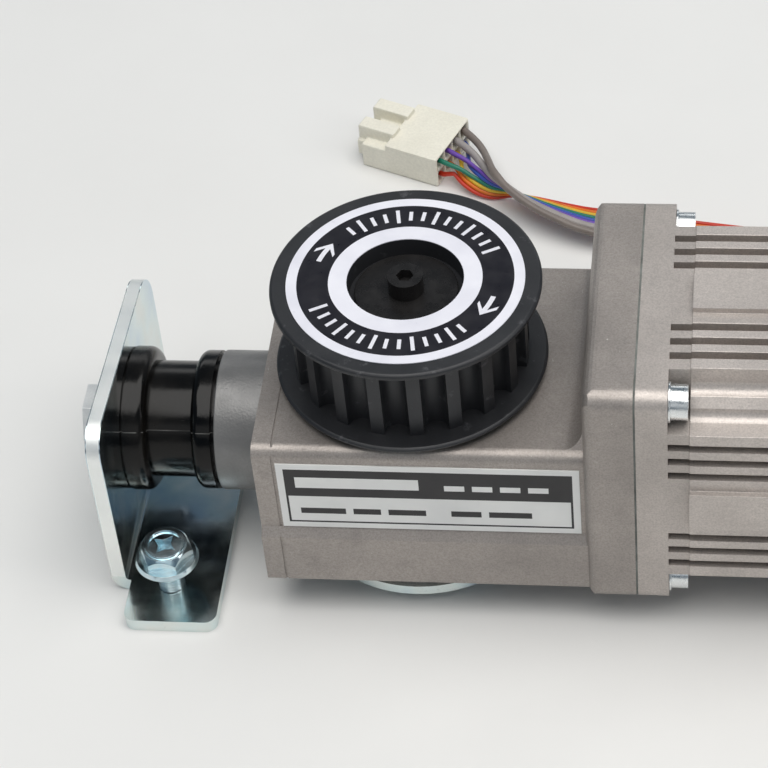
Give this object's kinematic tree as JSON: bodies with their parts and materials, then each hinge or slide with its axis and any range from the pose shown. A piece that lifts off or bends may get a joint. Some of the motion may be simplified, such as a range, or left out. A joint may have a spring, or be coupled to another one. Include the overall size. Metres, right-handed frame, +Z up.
{
  "type": "sliding door gearmotor",
  "caption": "Right-angle gearmotor with a finned square motor, die-cast gearbox, upright toothed belt pulley, rubber-bushed L brackets and a ribbon lead.",
  "frame": {"origin": "middle of the footprint on the resting plane, midway between the heads of the two bush bolts", "axes": "+X from the gearbox to the motor tail along the motor axis, +Z up along the pulley axis, +Y away from the label face, towards the lead"},
  "size_m": [0.2564, 0.1622, 0.0694],
  "materials": {
    "zinc_sheet": "blue zinc plate on pressed steel, lightly mottled and reflective",
    "zinc_hardware": "zinc-plated steel fasteners",
    "black_rubber": "smooth moulded rubber with a fine parting line",
    "boss_grey": "turned and painted dark grey",
    "cast_grey": "die-cast aluminium, grey-brown satin coat",
    "rating_plate": "printed film with blank fields",
    "gasket_fibre": "dark compressed fibre sheet",
    "lamination_steel": "stacked electrical steel",
    "copper_enamel": "enamelled copper wire",
    "board_green": "fibreglass circuit board",
    "ground_steel": "ground and oiled steel",
    "magnet_black": "sintered magnet segments",
    "gear_steel": "machined and greased steel",
    "bearing_steel": "polished bearing steel",
    "cage_brass": "pressed cage strip",
    "pulley_black": "hard black anodised aluminium",
    "pulley_label_film": "white and black printed ring with plain arrows",
    "black_oxide": "black oxide steel",
    "ribbon_pvc": "bonded wires in different colours",
    "connector_nylon": "natural cream nylon"
  },
  "bodies": {
    "base": {"front_bracket": "zinc_sheet", "rear_bracket": "zinc_sheet", "foot_bolts": "zinc_hardware", "bush_bolts": "zinc_hardware", "bush_sleeves": "zinc_hardware", "front_rubber_bush": "black_rubber", "rear_rubber_bush": "black_rubber", "front_bush_boss": "boss_grey", "gear_housing": "cast_grey", "bottom_cover": "zinc_sheet", "bottom_cover_screws": "zinc_hardware", "nameplate": "rating_plate", "flange_gasket": "gasket_fibre", "motor_front_bell": "cast_grey", "flange_screws": "zinc_hardware", "flange_screw_washers": "zinc_hardware", "motor_body": "cast_grey", "motor_rear_bell": "cast_grey", "tie_bolts": "zinc_hardware", "stator_core": "lamination_steel", "stator_windings": "copper_enamel", "hall_sensor_board": "board_green", "motor_bearing_outer_rings": "bearing_steel", "preload_washer": "ground_steel", "output_bearing_outer_rings": "bearing_steel", "shaft_seal": "black_rubber", "lead_grommet": "black_rubber", "lead_ribbon": "ribbon_pvc", "lead_connector": "connector_nylon"},
    "rotor": {"rotor_shaft": "ground_steel", "rotor_core": "lamination_steel", "rotor_magnets": "magnet_black", "bevel_pinion": "gear_steel", "motor_bearing_inner_rings": "bearing_steel"},
    "rotor_cages": {"motor_bearing_balls": "bearing_steel", "motor_bearing_cages": "cage_brass"},
    "output": {"output_shaft": "ground_steel", "shaft_keys": "ground_steel", "bevel_wheel_teeth": "gear_steel", "bevel_wheel_hub": "gear_steel", "output_bearing_inner_rings": "bearing_steel", "shaft_spacer": "ground_steel", "pulley_toothed_hub": "pulley_black", "pulley_lower_flange": "pulley_black", "pulley_upper_flange": "pulley_black", "pulley_label": "pulley_label_film", "pulley_washer": "black_oxide", "pulley_screw": "black_oxide"},
    "output_cages": {"output_bearing_balls": "bearing_steel", "output_bearing_cages": "cage_brass"}
  },
  "joints": [
    {"name": "output_spin", "type": "hinge", "parent": "base", "child": "output", "pos_m": [-0.0592, 0, 0.0577], "axis": [0, 0, 1], "continuous": true},
    {"name": "motor_spin", "type": "hinge", "parent": "base", "child": "rotor", "pos_m": [0.0308, 0, 0.0363], "axis": [1, 0, 0], "continuous": true},
    {"name": "rotor_cage_spin", "type": "hinge", "parent": "base", "child": "rotor_cages", "pos_m": [0.0308, 0, 0.0363], "axis": [1, 0, 0], "continuous": true},
    {"name": "output_cage_spin", "type": "hinge", "parent": "base", "child": "output_cages", "pos_m": [-0.0592, 0, 0.0577], "axis": [0, 0, 1], "continuous": true}
  ],
  "couplings": [
    {"joint": "motor_spin", "follows": "output_spin", "ratio": 6},
    {"joint": "rotor_cage_spin", "follows": "output_spin", "ratio": 2.22},
    {"joint": "output_cage_spin", "follows": "output_spin", "ratio": 0.42727}
  ]
}
